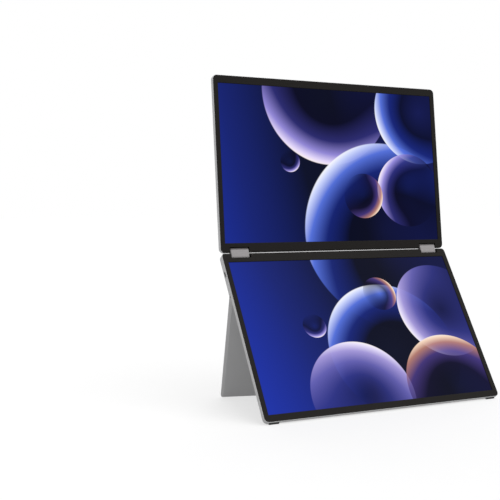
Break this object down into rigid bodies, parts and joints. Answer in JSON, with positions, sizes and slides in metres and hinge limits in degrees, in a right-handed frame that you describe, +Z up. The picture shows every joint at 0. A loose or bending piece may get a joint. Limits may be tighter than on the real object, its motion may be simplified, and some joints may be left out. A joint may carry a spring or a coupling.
{
  "type": "dual-screen portable monitor",
  "caption": "Two flat screens stacked on a geared hinge, standing on a slanted fold-out flap, with ports and keys in the lower screen's edge.",
  "frame": {"origin": "on the surface that the monitor stands on, in the middle of its width and depth in the stored pose", "axes": "+Z up, the screens face -Y, +X to the right for someone looking at the screens"},
  "size_m": [0.3153, 0.1729, 0.3864],
  "materials": {
    "anodised_aluminium": "bead-blasted, satin anodised",
    "key_aluminium": "satin anodised",
    "bezel_plastic": "fine moulded grain",
    "display_glass": "glossy, lit from behind",
    "sheet_aluminium": "mill finish",
    "circuit_board": "solder mask",
    "chip_plastic": "moulded",
    "socket_plastic": "moulded",
    "ribbon_film": "polyimide film",
    "plated_steel": "nickel plated",
    "ground_steel": "turned and ground",
    "friction_bronze": "turned, greased",
    "insert_brass": "turned",
    "knuckle_paint": "satin paint on a zinc casting",
    "cap_plastic": "moulded",
    "rocker_plastic": "moulded",
    "light_pipe": "clear moulded",
    "liner_film": "flocked black film",
    "foot_rubber": "moulded",
    "cable_sleeve": "extruded"
  },
  "bodies": {
    "lower_screen": {"lower_back_cover": "anodised_aluminium", "lower_bezel": "bezel_plastic", "lower_display": "display_glass", "lower_display_plate": "sheet_aluminium", "main_board": "circuit_board", "controller_chips": "chip_plastic", "lower_board_sockets": "socket_plastic", "lower_display_ribbon": "ribbon_film", "main_board_screws": "plated_steel", "usb_c_shells": "plated_steel", "usb_c_tongues": "chip_plastic", "mini_hdmi_shell": "plated_steel", "mini_hdmi_tongue": "chip_plastic", "indicator_light_pipes": "light_pipe", "side_switches": "chip_plastic", "lock_slot_plate": "plated_steel", "tripod_insert": "insert_brass", "stand_recess_liner": "liner_film", "stand_bumpers": "foot_rubber", "rubber_feet": "foot_rubber", "stand_hinge_pins": "ground_steel", "left_lower_bracket": "plated_steel", "right_lower_bracket": "plated_steel", "left_lower_shaft": "ground_steel", "right_lower_shaft": "ground_steel", "lower_bracket_screws": "plated_steel", "lower_screen_cable": "cable_sleeve"},
    "hinge_links": {"left_knuckle": "knuckle_paint", "right_knuckle": "knuckle_paint", "left_knuckle_cap": "cap_plastic", "right_knuckle_cap": "cap_plastic", "left_gear_plate": "plated_steel", "right_gear_plate": "plated_steel", "left_friction_sleeves": "friction_bronze", "right_friction_sleeves": "friction_bronze", "link_screen_cable": "cable_sleeve"},
    "upper_screen": {"upper_back_cover": "anodised_aluminium", "upper_bezel": "bezel_plastic", "upper_display": "display_glass", "upper_display_plate": "sheet_aluminium", "upper_driver_board": "circuit_board", "upper_board_sockets": "socket_plastic", "upper_display_ribbon": "ribbon_film", "upper_board_screws": "plated_steel", "left_upper_bracket": "plated_steel", "right_upper_bracket": "plated_steel", "left_upper_shaft": "ground_steel", "right_upper_shaft": "ground_steel", "upper_bracket_screws": "plated_steel", "upper_screen_cable": "cable_sleeve"},
    "lower_idlers": {"left_lower_idler": "ground_steel", "right_lower_idler": "ground_steel"},
    "upper_idlers": {"left_upper_idler": "ground_steel", "right_upper_idler": "ground_steel"},
    "stand": {"stand_flap": "anodised_aluminium", "stand_hinge_plug": "cap_plastic"},
    "power_button": {"power_button": "key_aluminium"},
    "menu_rocker": {"menu_rocker": "rocker_plastic"}
  },
  "joints": [
    {"name": "lower_hinge", "type": "hinge", "parent": "lower_screen", "child": "hinge_links", "pos_m": [0, 0.02991, 0.17346], "axis": [-1, 0, 0], "range_deg": [-76.45, 63.55]},
    {"name": "upper_hinge", "type": "hinge", "parent": "hinge_links", "child": "upper_screen", "pos_m": [0, 0.03264, 0.18109], "axis": [-1, 0, 0], "range_deg": [-76.45, 63.55]},
    {"name": "lower_idler_spin", "type": "hinge", "parent": "hinge_links", "child": "lower_idlers", "pos_m": [0, 0.03082, 0.176], "axis": [-1, 0, 0], "range_deg": [-76.45, 63.55]},
    {"name": "upper_idler_spin", "type": "hinge", "parent": "hinge_links", "child": "upper_idlers", "pos_m": [0, 0.03173, 0.17855], "axis": [-1, 0, 0], "range_deg": [-63.55, 76.45]},
    {"name": "stand_hinge", "type": "hinge", "parent": "lower_screen", "child": "stand", "pos_m": [-0.15727, 0.00452, 0.13009], "axis": [0.967, -0.1394, -0.213], "range_deg": [-68.17, 21.83]},
    {"name": "power_press", "type": "slide", "parent": "lower_screen", "child": "power_button", "axis": [-1, 0, 0], "range_m": [0, 0.0004], "stiffness_N_per_m": 1500, "springref_m": -0.0005},
    {"name": "rocker_tilt", "type": "hinge", "parent": "lower_screen", "child": "menu_rocker", "pos_m": [0.15538, -0.03045, 0.08377], "axis": [0, -0.8368, 0.5476], "range_deg": [-3.5, 3.5], "stiffness_Nm_per_rad": 0.12}
  ],
  "couplings": [
    {"joint": "upper_hinge", "follows": "lower_hinge", "ratio": 1},
    {"joint": "lower_idler_spin", "follows": "lower_hinge", "ratio": 1},
    {"joint": "upper_idler_spin", "follows": "lower_hinge", "ratio": -1}
  ]
}
